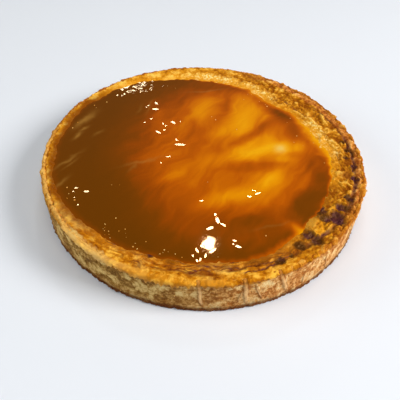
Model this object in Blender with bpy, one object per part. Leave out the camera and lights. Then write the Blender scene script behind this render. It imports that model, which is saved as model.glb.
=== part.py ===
"""A whole baked cheesecake, 23 cm across, as three solids that nest in one another.

crust    the thin pastry case, with a rounded rim and the ridges that folded baking paper left in its side
filling  the baked filling, level with the crust's rim all round and sunk in the middle
caramel  the pool of soft caramel in the sunken part, shallow towards +X and deep towards -X

Metres, +Z up. The origin is the middle of the underside, and the side with the sharpest folds faces -Y.
All three are built on one fan of directions, so that the gaps between them are even.
"""

import math

import bmesh
import bpy
import numpy as np

# The crust, as the tin forms it
CRUST_RADIUS = 0.1150
RIM_HEIGHT = 0.0287
WALL = 0.0042
FLOOR = 0.0045
FOOT_ROUNDING = 0.0014
RIM_ROUNDING = 0.0026

# Its unevenness, as (waves in a turn, height, phase in radians)
OUTLINE_WAVES = ((2, 0.0004, 0.5), (3, 0.0003, 2.1), (5, 0.0004, 4.0), (11, 0.0003, 1.0))
RIM_WAVES = ((3, 0.0003, 1.2), (7, 0.0003, 0.3), (13, 0.0002, 2.6))

# Ridges where the baking paper was folded, by direction in degrees
FOLDS = (-147, -91, -77.5, -72, -66, -57, -34, 21, 58, 96, 140, 187)
FOLD_DEPTH = 0.0007
FOLD_HALF_WIDTH = 1.2

# The filling's bare margin: a rounded shoulder beside the crust, then a slope down to the caramel
SHOULDER_INSET = 0.0024
SHOULDER_DROP = 0.0004
SEAM_DROP = 0.0014
MARGIN_STEPS = (0, 0.3, 0.65, 1)
MARGIN_WAVES = ((5, 0.0003, 0.8), (9, 0.0003, 2.9), (17, 0.0003, 1.7))
WIDE_MARGIN = 0.020  # the margin has its full waves where it is this wide

# The caramel's edge, as (direction in degrees, distance in from the outside of the crust)
POOL_EDGE = (
    (0, 0.0250),
    (20, 0.0295),
    (35, 0.0300),
    (50, 0.0320),
    (65, 0.0280),
    (80, 0.0250),
    (95, 0.0225),
    (108, 0.0175),
    (120, 0.0115),
    (135, 0.0084),
    (150, 0.0078),
    (180, 0.0094),
    (210, 0.0088),
    (225, 0.0120),
    (240, 0.0138),
    (255, 0.0158),
    (285, 0.0154),
    (300, 0.0175),
    (312, 0.0205),
    (325, 0.0240),
    (342, 0.0235),
)
POOL_LEVEL = 0.0270
POOL_EDGE_DEPTH = 0.0009
POOL_DEPTH = 0.0032
POOL_DEPTH_TILT = 0.014  # extra depth for each metre towards -X
BOWL_POWER = 6  # a higher power keeps the pool's bed level until nearer its edge
BED_STEPS = (0.94, 0.8, 0.55, 0.28)
MENISCUS = 0.0002

GAP = 0.0003  # between neighbouring solids
EVEN_DIRECTIONS = 144

# Each solid's colour and roughness
CRUST_LOOK = ((0.52, 0.29, 0.11, 1.0), 0.85)
FILLING_LOOK = ((0.78, 0.42, 0.07, 1.0), 0.55)
CARAMEL_LOOK = ((0.34, 0.11, 0.01, 1.0), 0.08)


def degrees_apart(a, b):
    return abs((a - b + 180) % 360 - 180)


def make_fan():
    """Directions in radians: an even spread, with three at each fold in place of the even ones near it."""
    step = 360 / EVEN_DIRECTIONS
    found = [fold + side * FOLD_HALF_WIDTH for fold in FOLDS for side in (-1, 0, 1)]
    for i in range(EVEN_DIRECTIONS):
        nearest = min(degrees_apart(i * step, fold) for fold in FOLDS)
        if nearest > FOLD_HALF_WIDTH + step / 2:
            found.append(i * step)
    return [math.radians(direction) for direction in sorted(direction % 360 for direction in found)]


def waves(angle, table):
    return sum(height * math.cos(count * angle + phase) for count, height, phase in table)


def crust_radius(angle):
    return CRUST_RADIUS + waves(angle, OUTLINE_WAVES)


def inner_radius(angle):
    return crust_radius(angle) - WALL


def rim_height(angle):
    return RIM_HEIGHT + waves(angle, RIM_WAVES)


def fold_height(angle):
    """How far a fold makes the crust's side stand out here: all of it on the ridge, none beside it."""
    nearest = min(degrees_apart(math.degrees(angle), fold) for fold in FOLDS)
    return FOLD_DEPTH * max(0.0, 1 - nearest / FOLD_HALF_WIDTH)


def pool_radius(angle):
    """The caramel's edge: a smooth closed curve through POOL_EDGE, made of cubic Hermite pieces."""
    direction = math.degrees(angle) % 360
    count = len(POOL_EDGE)
    before = max(i for i in range(count) if POOL_EDGE[i][0] <= direction)
    knots = []
    for i in range(before - 1, before + 3):
        turns, place = divmod(i, count)
        knots.append((POOL_EDGE[place][0] + 360 * turns, POOL_EDGE[place][1]))
    (a0, m0), (a1, m1), (a2, m2), (a3, m3) = knots
    t = (direction - a1) / (a2 - a1)
    start_slope = (m2 - m0) / (a2 - a0) * (a2 - a1)
    end_slope = (m3 - m1) / (a3 - a1) * (a2 - a1)
    distance_in = (2 * t**3 - 3 * t**2 + 1) * m1 + (t**3 - 2 * t**2 + t) * start_slope
    distance_in += (3 * t**2 - 2 * t**3) * m2 + (t**3 - t**2) * end_slope
    return crust_radius(angle) - distance_in


def pool_depth(angle, share):
    """The caramel's depth at this share of the way from the middle to its edge."""
    x = share * pool_radius(angle) * math.cos(angle)
    deepest = POOL_DEPTH - POOL_DEPTH_TILT * x
    return POOL_EDGE_DEPTH + (deepest - POOL_EDGE_DEPTH) * (1 - share**BOWL_POWER)


def ring(radius, height):
    """A closed ring of points over the fan, where radius and height are functions of the direction."""
    return [(radius(a) * math.cos(a), radius(a) * math.sin(a), height(a)) for a in FAN]


def level(height):
    return lambda angle: height


def turned_solid(name, rings, low_middle, high_middle, look):
    """A closed solid whose skin runs from the middle of its underside, over the rings, to the middle of its top."""
    mesh = bmesh.new()
    rows = [[mesh.verts.new(point) for point in points] for points in rings]
    low = mesh.verts.new((0, 0, low_middle))
    high = mesh.verts.new((0, 0, high_middle))
    for i in range(len(FAN)):
        j = (i + 1) % len(FAN)
        mesh.faces.new((low, rows[0][j], rows[0][i]))
        mesh.faces.new((high, rows[-1][i], rows[-1][j]))
        for below, above in zip(rows, rows[1:]):
            mesh.faces.new((below[i], below[j], above[j], above[i]))
    data = bpy.data.meshes.new(name)
    mesh.to_mesh(data)
    mesh.free()
    data.shade_smooth()
    data.set_sharp_from_angle(angle=math.radians(40))
    data.materials.append(make_material(name, *look))
    solid = bpy.data.objects.new(name, data)
    bpy.context.scene.collection.objects.link(solid)
    return solid


def make_material(name, colour, roughness):
    material = bpy.data.materials.new(name)
    material.use_nodes = True
    shader = material.node_tree.nodes["Principled BSDF"]
    shader.inputs["Base Color"].default_value = colour
    shader.inputs["Roughness"].default_value = roughness
    shader.inputs["Metallic"].default_value = 0.0
    return material


def make_crust():
    """A flat underside, a nearly upright side with its folds, a rounded rim, and a plain inside."""

    def side(angle):
        return crust_radius(angle) + fold_height(angle)

    def rim_side(angle):
        return crust_radius(angle) - 0.25 * RIM_ROUNDING + 0.4 * fold_height(angle)

    rings = [
        ring(lambda a: crust_radius(a) - FOOT_ROUNDING, level(0)),
        ring(side, level(FOOT_ROUNDING)),
        ring(side, lambda a: rim_height(a) - RIM_ROUNDING),
        ring(rim_side, lambda a: rim_height(a) - 0.3 * RIM_ROUNDING),
        ring(lambda a: crust_radius(a) - 0.5 * WALL, rim_height),
        ring(inner_radius, lambda a: rim_height(a) - SHOULDER_DROP),
        ring(inner_radius, level(FLOOR)),
    ]
    return turned_solid("crust", rings, 0, FLOOR, CRUST_LOOK)


def make_filling():
    """It fills the crust, and its top runs over a shoulder and down a slope to the bed of the caramel."""

    def outside(angle):
        return inner_radius(angle) - GAP

    def bed_edge(angle):
        return pool_radius(angle) + GAP

    def margin_width(angle):
        return inner_radius(angle) - SHOULDER_INSET - bed_edge(angle)

    def margin_height(angle, share):
        slope = 0.5 + 0.5 * math.cos(math.pi * share)
        swell = waves(angle, MARGIN_WAVES) * math.sin(math.pi * share) * margin_width(angle) / WIDE_MARGIN
        return POOL_LEVEL + (rim_height(angle) - SHOULDER_DROP - POOL_LEVEL) * slope + swell

    def bed_height(angle, share):
        return POOL_LEVEL - GAP - pool_depth(angle, share)

    rings = [
        ring(outside, level(FLOOR + GAP)),
        ring(outside, lambda a: rim_height(a) - SEAM_DROP),
    ]
    for share in MARGIN_STEPS:
        rings.append(
            ring(
                lambda a: bed_edge(a) + (1 - share) * margin_width(a),
                lambda a: margin_height(a, share),
            )
        )
    rings.append(ring(bed_edge, lambda a: bed_height(a, 1)))
    for share in BED_STEPS:
        rings.append(ring(lambda a: share * pool_radius(a), lambda a: bed_height(a, share)))
    return turned_solid("filling", rings, FLOOR + GAP, bed_height(0, 0), FILLING_LOOK)


def make_caramel():
    """An underside that fits the bed in the filling, and a level top that turns down at its edge."""
    rings = []
    for share in (*reversed(BED_STEPS), 1):
        rings.append(
            ring(
                lambda a: share * pool_radius(a),
                lambda a: POOL_LEVEL - pool_depth(a, share),
            )
        )
    rings.append(ring(pool_radius, level(POOL_LEVEL - MENISCUS)))
    for share in BED_STEPS[::2]:
        rings.append(ring(lambda a: share * pool_radius(a), level(POOL_LEVEL)))
    return turned_solid("caramel", rings, POOL_LEVEL - pool_depth(0, 0), POOL_LEVEL, CARAMEL_LOOK)


def centre(solids):
    """The outline isn't quite round, so all of the solids are moved to put its middle on the origin."""
    points = np.array([vertex.co for solid in solids for vertex in solid.data.vertices])
    middle = (points.min(axis=0) + points.max(axis=0)) / 2
    for solid in solids:
        for vertex in solid.data.vertices:
            vertex.co.x -= middle[0]
            vertex.co.y -= middle[1]


for old in list(bpy.data.objects):
    bpy.data.objects.remove(old)
FAN = make_fan()
centre([make_crust(), make_filling(), make_caramel()])
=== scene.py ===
"""Looks of a whole caramel cheesecake, 23 cm across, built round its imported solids.

From the outside in: the pastry crust, the baked filling whose browned margin shows, the pool of caramel in
its sunken top, the bubbles that stand in the caramel and the crumbs that cling to the crust. Metres, +Z up.
"""

import functools
import math

import bpy
import numpy as np
from mathutils import Matrix, Vector


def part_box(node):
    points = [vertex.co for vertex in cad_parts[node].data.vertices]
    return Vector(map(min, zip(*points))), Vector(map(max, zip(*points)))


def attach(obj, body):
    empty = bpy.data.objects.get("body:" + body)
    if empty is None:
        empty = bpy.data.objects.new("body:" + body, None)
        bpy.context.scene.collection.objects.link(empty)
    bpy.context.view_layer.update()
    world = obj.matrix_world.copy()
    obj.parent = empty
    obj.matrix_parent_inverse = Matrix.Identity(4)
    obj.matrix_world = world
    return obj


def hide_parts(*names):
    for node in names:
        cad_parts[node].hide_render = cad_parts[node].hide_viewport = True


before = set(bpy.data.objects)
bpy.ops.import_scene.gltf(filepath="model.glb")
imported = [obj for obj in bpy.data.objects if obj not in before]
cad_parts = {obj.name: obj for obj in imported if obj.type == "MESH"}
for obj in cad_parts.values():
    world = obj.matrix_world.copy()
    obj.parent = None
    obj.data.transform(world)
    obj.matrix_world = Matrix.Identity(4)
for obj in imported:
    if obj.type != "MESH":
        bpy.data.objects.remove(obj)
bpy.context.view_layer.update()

# ---- The crust
# A thin case of pastry, pressed into a tin lined with baking paper, and baked dry and crumbly. The paper's
# folds left ridges down its side. Its foot is dark from the tin, and its rim browned, most towards +X.
# It is turned from a profile, and a geometry tree then roughens it.

CRUST_LOW, CRUST_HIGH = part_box("crust")
RIM_HEIGHT = CRUST_HIGH.z - 0.0008
CRUST_RADIUS = (CRUST_HIGH.x - CRUST_LOW.x + CRUST_HIGH.y - CRUST_LOW.y) / 4 - 0.0005
CRUST_WALL = 0.0042
CRUST_FLOOR = 0.0045
AROUND = 1160

# Stretches of the profile: (distance in from the outside, height, rows of faces that lead to it)
CRUST_PROFILE = (
    (0.0140, 0.0, 1),
    (0.0014, 0.0, 6),
    (0.0004, 0.0004, 2),
    (0.0, 0.0014, 2),
    (0.0, RIM_HEIGHT - 0.0030, 44),
    (0.0004, RIM_HEIGHT - 0.0014, 4),
    (0.0012, RIM_HEIGHT - 0.0004, 4),
    (0.0022, RIM_HEIGHT, 4),
    (0.0034, RIM_HEIGHT - 0.0005, 4),
    (CRUST_WALL, RIM_HEIGHT - 0.0018, 4),
    (CRUST_WALL, RIM_HEIGHT - 0.0070, 2),
    (CRUST_WALL, CRUST_FLOOR, 1),
)

# Paper folds: (direction at the rim, direction at the foot in degrees, from height, to height, half width)
PAPER_FOLDS = (
    (-90.3, -88.8, 0.003, 0.034, 0.0016),
    (-77.1, -75.6, 0.002, 0.034, 0.0018),
    (-76.6, -79.6, 0.004, 0.024, 0.0006),
    (-74.7, -70.0, 0.003, 0.027, 0.0008),
    (-66.4, -61.8, 0.003, 0.034, 0.0017),
    (-57.6, -56.4, 0.000, 0.020, 0.0008),
    (-49.5, -46.0, 0.002, 0.024, 0.0007),
    (-34.4, -33.0, 0.002, 0.028, 0.0009),
    (-147.0, -145.5, 0.003, 0.026, 0.0008),
    (-173.0, -171.4, 0.002, 0.028, 0.0010),
    (21.0, 22.4, 0.002, 0.028, 0.0010),
    (58.0, 55.6, 0.003, 0.030, 0.0012),
    (61.4, 62.6, 0.002, 0.018, 0.0007),
    (96.0, 97.0, 0.002, 0.027, 0.0010),
    (140.0, 137.8, 0.003, 0.029, 0.0012),
)


class Wire:
    """A value on its way between nodes. A sum written on it adds the Math nodes that work it out."""

    def __init__(self, recipe, socket):
        self.recipe = recipe
        self.socket = socket

    def maths(self, operation, *values):
        return self.recipe.add("ShaderNodeMath", {"operation": operation}, dict(enumerate(values)))

    def __neg__(self):
        return self.maths("MULTIPLY", self, -1)

    def __abs__(self):
        return self.maths("ABSOLUTE", self)

    def times_plus(self, factor, more):
        return self.maths("MULTIPLY_ADD", self, factor, more)

    def exp(self):
        return self.maths("EXPONENT", self)

    def at_most(self, other):
        return self.maths("MINIMUM", self, other)

    def at_least(self, other):
        return self.maths("MAXIMUM", self, other)

    def rise(self, start, end):
        """0 up to start, 1 from end on, and smooth between. It falls where end is the lower of the two."""
        kind = {"interpolation_type": "SMOOTHSTEP", "clamp": True}
        if end < start:
            return 1 - self.rise(end, start)
        return self.recipe.add("ShaderNodeMapRange", kind, {0: self, 1: start, 2: end, 3: 0, 4: 1})

    def band(self, start, full, ebb, end):
        """1 from full to ebb, and 0 up to start and from end on."""
        return self.rise(start, full) * self.rise(end, ebb)


def wire_operator(operation, swapped):
    """The method behind one sign. A swapped one serves when the number comes before the wire."""

    def work(self, other):
        return self.maths(operation, *((other, self) if swapped else (self, other)))

    return work


SIGNS = {"add": "ADD", "sub": "SUBTRACT", "mul": "MULTIPLY", "truediv": "DIVIDE", "pow": "POWER"}
for sign, operation_name in SIGNS.items():
    setattr(Wire, f"__{sign}__", wire_operator(operation_name, swapped=False))
    setattr(Wire, f"__r{sign}__", wire_operator(operation_name, swapped=True))


def greatest(wires):
    """The greatest of these values at each point."""
    return functools.reduce(Wire.at_least, wires)


def srgb(red, green, blue):
    """A colour as a screen shows it, 0 to 255, in the linear values that shaders use."""
    shares = [value / 255 for value in (red, green, blue)]
    return tuple(s / 12.92 if s <= 0.04045 else ((s + 0.055) / 1.055) ** 2.4 for s in shares) + (1.0,)


def fill(socket, value):
    """Links a wire to the socket, or sets it to a number, or to a colour from 0 to 255."""
    if isinstance(value, Wire):
        socket.id_data.links.new(value.socket, socket)
    else:
        socket.default_value = srgb(*value) if socket.type == "RGBA" else value


class Recipe:
    """The nodes of one material or geometry tree. Colours are as a screen shows them, 0 to 255."""

    def __init__(self, tree):
        self.tree = tree

    def add(self, kind, settings=None, values=None, output=0):
        """Adds a node, its settings first and then its sockets. Returns the wire from one output."""
        node = self.tree.nodes.new(kind)
        for name, setting in (settings or {}).items():
            setattr(node, name, setting)
        for name, value in (values or {}).items():
            fill(node.inputs[name], value)
        return Wire(self, node.outputs[output])

    def axes(self, vector):
        split = self.add("ShaderNodeSeparateXYZ", None, {0: vector})
        return [Wire(self, output) for output in split.socket.node.outputs]

    def point(self, x, y, z):
        return self.add("ShaderNodeCombineXYZ", None, {0: x, 1: y, 2: z})

    def moved(self, vector, step, operation="ADD"):
        return self.add("ShaderNodeVectorMath", {"operation": operation}, {0: vector, 1: step})

    def stretched(self, vector, factor):
        return self.add("ShaderNodeVectorMath", {"operation": "SCALE"}, {0: vector, "Scale": factor})

    def noise(self, place, size, seed, detail=2.0, roughness=0.5, distortion=0.0):
        """Soft random swells from about -1 to 1, as wide as size."""
        values = {"Vector": place, "W": seed, "Scale": 1 / size}
        values.update({"Detail": detail, "Roughness": roughness, "Distortion": distortion})
        return self.add("ShaderNodeTexNoise", {"noise_dimensions": "4D"}, values) * 2 - 1

    def veins(self, place, size, seed, width, detail=2.0, distortion=0.0):
        """1 along thin winding lines, as far apart as size, and 0 between them."""
        return abs(self.noise(place, size, seed, detail, 0.5, distortion)).rise(width, width * 0.15)

    def blend(self, share, colour_a, colour_b):
        return self.add("ShaderNodeMix", {"data_type": "RGBA"}, {0: share, 6: colour_a, 7: colour_b}, 2)

    def ramp(self, value, *stops):
        """A colour that runs through these (position, colour) stops as the value grows."""
        found = self.add("ShaderNodeValToRGB", None, {0: value})
        elements = found.socket.node.color_ramp.elements
        while len(elements) < len(stops):
            elements.new(0.5)
        for element, (position, colour) in zip(elements, stops):
            element.position = position
            element.color = srgb(*colour)
        return found

    def tones(self, value, low, middle, high):
        """From the low colour through the middle one to the high one, for a value of noise round 0."""
        return self.ramp(value + 0.5, (0.1, low), (0.5, middle), (0.9, high))

    def place(self):
        """Where a shaded point is, on the object."""
        return self.add("ShaderNodeTexCoord", output="Object")

    def bearing(self, x, y):
        """The direction of a place from the axis, in degrees from -180 to 180."""
        return y.maths("ARCTAN2", y, x) * (180 / math.pi)

    def fine_bump(self, place, strength, distance, roughness):
        """Grain too fine for the mesh."""
        height = self.noise(place, 0.0009, 12, 3, roughness)
        values = {"Strength": strength, "Distance": distance, "Height": height}
        return self.add("ShaderNodeBump", None, values)

    def attributes(self, *names):
        return [self.attribute(name) for name in names]

    def attribute(self, name):
        """A number that the mesh carries at each of its points."""
        if self.tree.type == "GEOMETRY":
            return self.add("GeometryNodeInputNamedAttribute", {"data_type": "FLOAT"}, {"Name": name})
        return self.add("ShaderNodeAttribute", {"attribute_name": name}, output="Fac")


def turned_shape(name, radii, heights, numbers=None):
    """A closed mesh from rings, given as arrays with a row for each. Each end closes on the axis."""
    rings, around = radii.shape
    angles = np.linspace(0, 2 * np.pi, around, endpoint=False)
    points = np.stack([radii * np.cos(angles), radii * np.sin(angles), heights], axis=2).reshape(-1, 3)
    ends = [(0, 0, heights[0, 0]), (0, 0, heights[-1, 0])]
    here = np.arange(rings * around).reshape(rings, around)
    beside = np.roll(here, -1, axis=1)
    sides = np.stack([here[:-1], beside[:-1], beside[1:], here[1:]], axis=2).reshape(-1, 4)
    low = [(rings * around, b, a) for a, b in zip(here[0], beside[0])]
    high = [(rings * around + 1, a, b) for a, b in zip(here[-1], beside[-1])]
    mesh = bpy.data.meshes.new(name)
    mesh.from_pydata(np.vstack([points, ends]).tolist(), [], sides.tolist() + low + high)
    for number, values in (numbers or {}).items():
        column = np.append(values.reshape(-1), [values[0, 0], values[-1, 0]])
        mesh.attributes.new(number, "FLOAT", "POINT").data.foreach_set("value", column)
    return mesh


def profile_rings(profile):
    """The profile's stretches cut into their rows: two lists, of distance in and of height."""
    inset, height = [profile[0][0]], [profile[0][1]]
    for (inset_a, height_a, _), (inset_b, height_b, rows) in zip(profile, profile[1:]):
        for i in range(1, rows + 1):
            inset.append(inset_a + (inset_b - inset_a) * i / rows)
            height.append(height_a + (height_b - height_a) * i / rows)
    return np.array(inset), np.array(height)


def sculpted(name, mesh, material, sizes, build, smooth=True):
    """Puts the mesh through a geometry tree that build() fills, and returns the result as a plain object."""
    tree = bpy.data.node_groups.new(name, "GeometryNodeTree")
    recipe = Recipe(tree)
    sockets = {}
    kinds = {"Shape": "NodeSocketGeometry", "Finish": "NodeSocketMaterial", "Seed": "NodeSocketInt"}
    for title in ("Shape", "Finish", *sizes):
        kind = kinds.get(title, "NodeSocketFloat")
        sockets[title] = tree.interface.new_socket(title, in_out="INPUT", socket_type=kind)
    tree.interface.new_socket("Shape", in_out="OUTPUT", socket_type="NodeSocketGeometry")
    start = tree.nodes.new("NodeGroupInput")
    inputs = {title: Wire(recipe, start.outputs[title]) for title in sockets}
    asked = {title.lower().replace(" ", "_"): wire for title, wire in inputs.items() if title != "Finish"}
    shape = build(recipe, **asked)
    shape = recipe.add("GeometryNodeRealizeInstances", None, {0: shape})
    shape = recipe.add("GeometryNodeSetShadeSmooth", None, {0: shape, "Shade Smooth": smooth})
    shape = recipe.add("GeometryNodeSetMaterial", None, {0: shape, "Material": inputs["Finish"]})
    end = tree.nodes.new("NodeGroupOutput")
    tree.links.new(shape.socket, end.inputs["Shape"])

    raw = bpy.data.objects.new(name + "_raw", mesh)
    bpy.context.scene.collection.objects.link(raw)
    modifier = raw.modifiers.new(name, "NODES")
    modifier.node_group = tree
    for title, value in {"Finish": material, **sizes}.items():
        modifier[sockets[title].identifier] = value
    graph = bpy.context.evaluated_depsgraph_get()
    finished = bpy.data.meshes.new_from_object(
        raw.evaluated_get(graph), preserve_all_data_layers=True, depsgraph=graph
    )
    finished.name = name
    bpy.data.objects.remove(raw)
    piece = bpy.data.objects.new(name, finished)
    bpy.context.scene.collection.objects.link(piece)
    return piece


def with_numbers(recipe, shape, **numbers):
    """The shape with these numbers kept at its points, for its material to read."""
    for name, value in numbers.items():
        shape = recipe.add(
            "GeometryNodeStoreNamedAttribute",
            {"data_type": "FLOAT", "domain": "POINT"},
            {"Geometry": shape, "Name": name, "Value": value},
        )
    return shape


def by_direction(knots, around, ragged=0.0, seed=0):
    """A value for each of this many even directions, from (degrees, value) knots, made a little ragged."""
    even = np.linspace(0, 360, around, endpoint=False)
    degrees, values = np.array(knots).T
    smooth = np.interp(even, degrees, values, period=360)
    chance = np.random.default_rng(seed)
    for count in (17, 31, 53, 89, 151, 233):
        height = ragged * chance.uniform(0.2, 0.6)
        smooth = smooth + height * np.cos(np.radians(even) * count + chance.uniform(0, 6.28))
    return smooth


def polar(recipe):
    """The place of each point as vector, x, y, z, distance from the axis, and direction in degrees."""
    place = recipe.add("GeometryNodeInputPosition")
    x, y, z = recipe.axes(place)
    direction = recipe.bearing(x, y)
    return place, x, y, z, (x * x + y * y) ** 0.5, direction


def roughen_crust(recipe, shape, seed, lump_height, grain_height, fold_height, rim_lumps, foot_ragged):
    """The crust's relief: lumps, dry patches and grain, the paper's folds, a lumpy rim and a ragged foot."""
    place, x, y, z, reach, direction = polar(recipe)
    lapped = recipe.attribute("lapped")

    outside = reach.rise(CRUST_RADIUS - 0.0034, CRUST_RADIUS - 0.0026)
    skin = z.rise(0, 0.0012) * outside.at_least(z.rise(RIM_HEIGHT - 0.005, RIM_HEIGHT - 0.003))
    rim = z.rise(RIM_HEIGHT - 0.012, RIM_HEIGHT - 0.002)
    browner_side = x.rise(0.00, 0.09)

    lumps = recipe.noise(place, 0.014, seed, 2) * lump_height
    patches = recipe.noise(place, 0.0082, seed + 3, 4, 0.6, 0.3).rise(-0.10, 0.16)
    grain = recipe.noise(place, 0.0032, seed + 5, 3, 0.65) * (1.3 - 0.8 * patches)
    pits = recipe.noise(place, 0.0023, seed + 8, 2, 0.5).rise(-0.12, -0.42)
    knobs = abs(recipe.noise(place, 0.0088, seed + 9, 2, 0.5, 0.5)) * 2.2 - 0.5
    nubs = recipe.noise(place, 0.0034, seed + 10, 2, 0.6)
    burst = (-((direction + 13) ** 2) / 18 - ((z - 0.020) / 0.007) ** 2).exp()

    ridges = []
    wander = recipe.noise(place, 0.007, seed + 11, 1) * 0.35
    for at_rim, at_foot, low, high, half_width in PAPER_FOLDS:
        line = z * ((at_rim - at_foot) / RIM_HEIGHT) + at_foot
        away = abs(direction - line + wander) * (CRUST_RADIUS * math.pi / 180 / half_width)
        fade = z.rise(low, low + 0.009) * z.rise(high, high - 0.007)
        ridges.append((away / (0.45 + 0.55 * fade)).rise(1.4, 0.1) * fade)
    folds = greatest(ridges)
    lean = recipe.noise(recipe.point(direction * 0.0020, 0, 0), 0.110, seed + 13, 1) * 0.5 + 0.32
    strands_place = recipe.point(direction * 0.0020 + z * lean, z * 0.24, 0)
    strands = recipe.noise(strands_place, 0.0013, seed + 14, 2, 0.6) * direction.rise(-100, -78) * outside

    push = lumps + grain * grain_height - pits * (0.0006 - 0.0004 * patches) + strands * 0.00036
    push = push + folds * fold_height * outside
    knobby = knobs * (0.60 + 0.40 * browner_side) + nubs * 0.45
    push = push + knobby * rim_lumps * rim + burst * 0.0016 * (1 + knobs)
    under_lap = lapped * z.rise(RIM_HEIGHT - 0.007, RIM_HEIGHT - 0.003)
    push = push * (1 - 0.8 * under_lap) - under_lap * 0.0002
    normal = recipe.add("GeometryNodeInputNormal")
    step = recipe.stretched(normal, push * skin)
    foot = z.rise(0.0042, 0.0008) * reach.rise(CRUST_RADIUS - 0.0020, CRUST_RADIUS - 0.0003)
    ragged = recipe.noise(recipe.point(x, y, z * 0.5), 0.0026, seed + 17, 3, 0.6) + 0.15
    outwards = recipe.point(x, y, 0)
    step = recipe.moved(step, recipe.stretched(outwards, foot * ragged * (foot_ragged / CRUST_RADIUS)))
    hollow = (pits * (1 - 0.4 * patches)).at_least(grain.rise(-0.05, -0.75))
    shape = with_numbers(recipe, shape, hollow=hollow, patch=patches, fold=folds, knob=knobs, strand=strands)
    return recipe.add("GeometryNodeSetPosition", None, {0: shape, "Offset": step})


def make_material(name, roughness=0.5):
    """A new material, as its recipe and its shader."""
    material = bpy.data.materials.new(name)
    material.use_nodes = True
    shader = material.node_tree.nodes["Principled BSDF"]
    shader.inputs["Roughness"].default_value = roughness
    return material, Recipe(material.node_tree), shader


def feed(shader, **values):
    """Sets or links the shader's sockets. A name's underscores stand for spaces."""
    for name, value in values.items():
        fill(shader.inputs[name.replace("_", " ")], value)


def pastry():
    """Dry baked pastry: pale patches in brown crumb, a burnt foot, and a golden rim, browner towards +X, with
    painted light and shade on the paper folds and the rim's lumps.
    """
    material, recipe, shader = make_material("baked_pastry", 0.85)
    place = recipe.place()
    x, y, z = recipe.axes(place)
    hollow, patch, fold, knob, strand = recipe.attributes("hollow", "patch", "fold", "knob", "strand")
    speckle = recipe.noise(place, 0.0013, 2, 3, 0.7)
    mottle = recipe.noise(place, 0.0046, 5, 5, 0.72, 0.5)
    cloud = recipe.noise(place, 0.013, 6, 2, 0.6)

    value = (patch - 0.5) * 0.48 + mottle * 0.90 + speckle * 0.75 - hollow * 0.5
    left = recipe.tones(value, (126, 84, 30), (190, 144, 70), (236, 204, 130))
    right = recipe.tones(value + strand * 0.75, (184, 108, 42), (242, 178, 102), (255, 222, 160))
    colour = recipe.blend(x.rise(-0.05, 0.06), left, right)
    spots = (mottle + cloud * 0.4).rise(-0.16, -0.38)
    spot_colour = recipe.blend(x.rise(-0.05, 0.04), (104, 70, 22), (140, 74, 20))
    colour = recipe.blend(spots * 0.5, colour, spot_colour)
    colour = recipe.blend(z.rise(0.014, 0.001) * 0.25, colour, (160, 94, 34))

    value = mottle * 0.9 + speckle * 0.5 - hollow * 0.4
    golden = recipe.tones(value, (140, 72, 4), (216, 140, 28), (254, 204, 92))
    # The rim's knobs lighten the browned tone on their tops and darken it in the creases between them: partly
    # browned crust, partly painted light and shade.
    browned_and_shaded = recipe.tones(value * 0.7 + knob * 0.7, (148, 72, 4), (214, 134, 32), (248, 186, 82))
    rim_colour = recipe.blend(x.rise(-0.02, 0.065), golden, browned_and_shaded)
    dull = x.rise(-0.070, -0.098) * y.rise(-0.010, 0.020) * y.rise(0.075, 0.050)
    rim_colour = recipe.blend(dull * 0.6, rim_colour, (158, 88, 18))
    tanned = x.rise(0.010, -0.030) * y.rise(0.035, 0.065) * (0.75 + mottle * 1.6)
    rim_colour = recipe.blend(tanned, rim_colour, (164, 88, 34))
    crest = z.rise(RIM_HEIGHT - 0.0020, RIM_HEIGHT) * x.rise(-0.030, -0.060) * y.rise(0.030, -0.010)
    rim_colour = recipe.blend(crest * (0.55 + mottle * 0.8), rim_colour, (242, 196, 108))
    rim_edge = z + cloud * 0.0030 + mottle * 0.0016 + speckle * 0.0008
    colour = recipe.blend(rim_edge.rise(RIM_HEIGHT - 0.0046, RIM_HEIGHT - 0.0024), colour, rim_colour)
    # Painted shade: darker brown along both sides of each paper fold, where its ridge meets the wall.
    colour = recipe.blend((fold * (1 - fold)) * 1.7, colour, (124, 64, 20))
    # The folds' ridges are paler pastry, brightened further as painted light: partly their own colour, partly
    # painted light.
    ridge_colour_and_light = recipe.blend(z.rise(0.020, 0.028), (252, 202, 138), (222, 150, 66))
    colour = recipe.blend(fold.rise(0.45, 1.0) * (0.80 + mottle * 0.7), colour, ridge_colour_and_light)

    foot = (z + recipe.noise(place, 0.0034, 9, 3, 0.65) * 0.0026).rise(0.0060, 0.0024)
    colour = recipe.blend(foot * 0.85, colour, (92, 38, 14))
    bump = recipe.fine_bump(place, 0.8, 0.0008, 0.65)
    feed(shader, Base_Color=colour, Normal=bump, Specular_IOR_Level=0.18, Specular_Tint=(255, 220, 170))
    return material


# How far the filling's skin hangs over the rim, in metres: (direction in degrees, reach)
SKIN_LAP = (
    (0, 0.0),
    (216, 0.0),
    (228, 0.0022),
    (248, 0.0034),
    (262, 0.0040),
    (272, 0.0028),
    (284, 0.0026),
    (296, 0.0024),
    (304, 0.0014),
    (311, 0.0),
    (360, 0.0),
)

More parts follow.
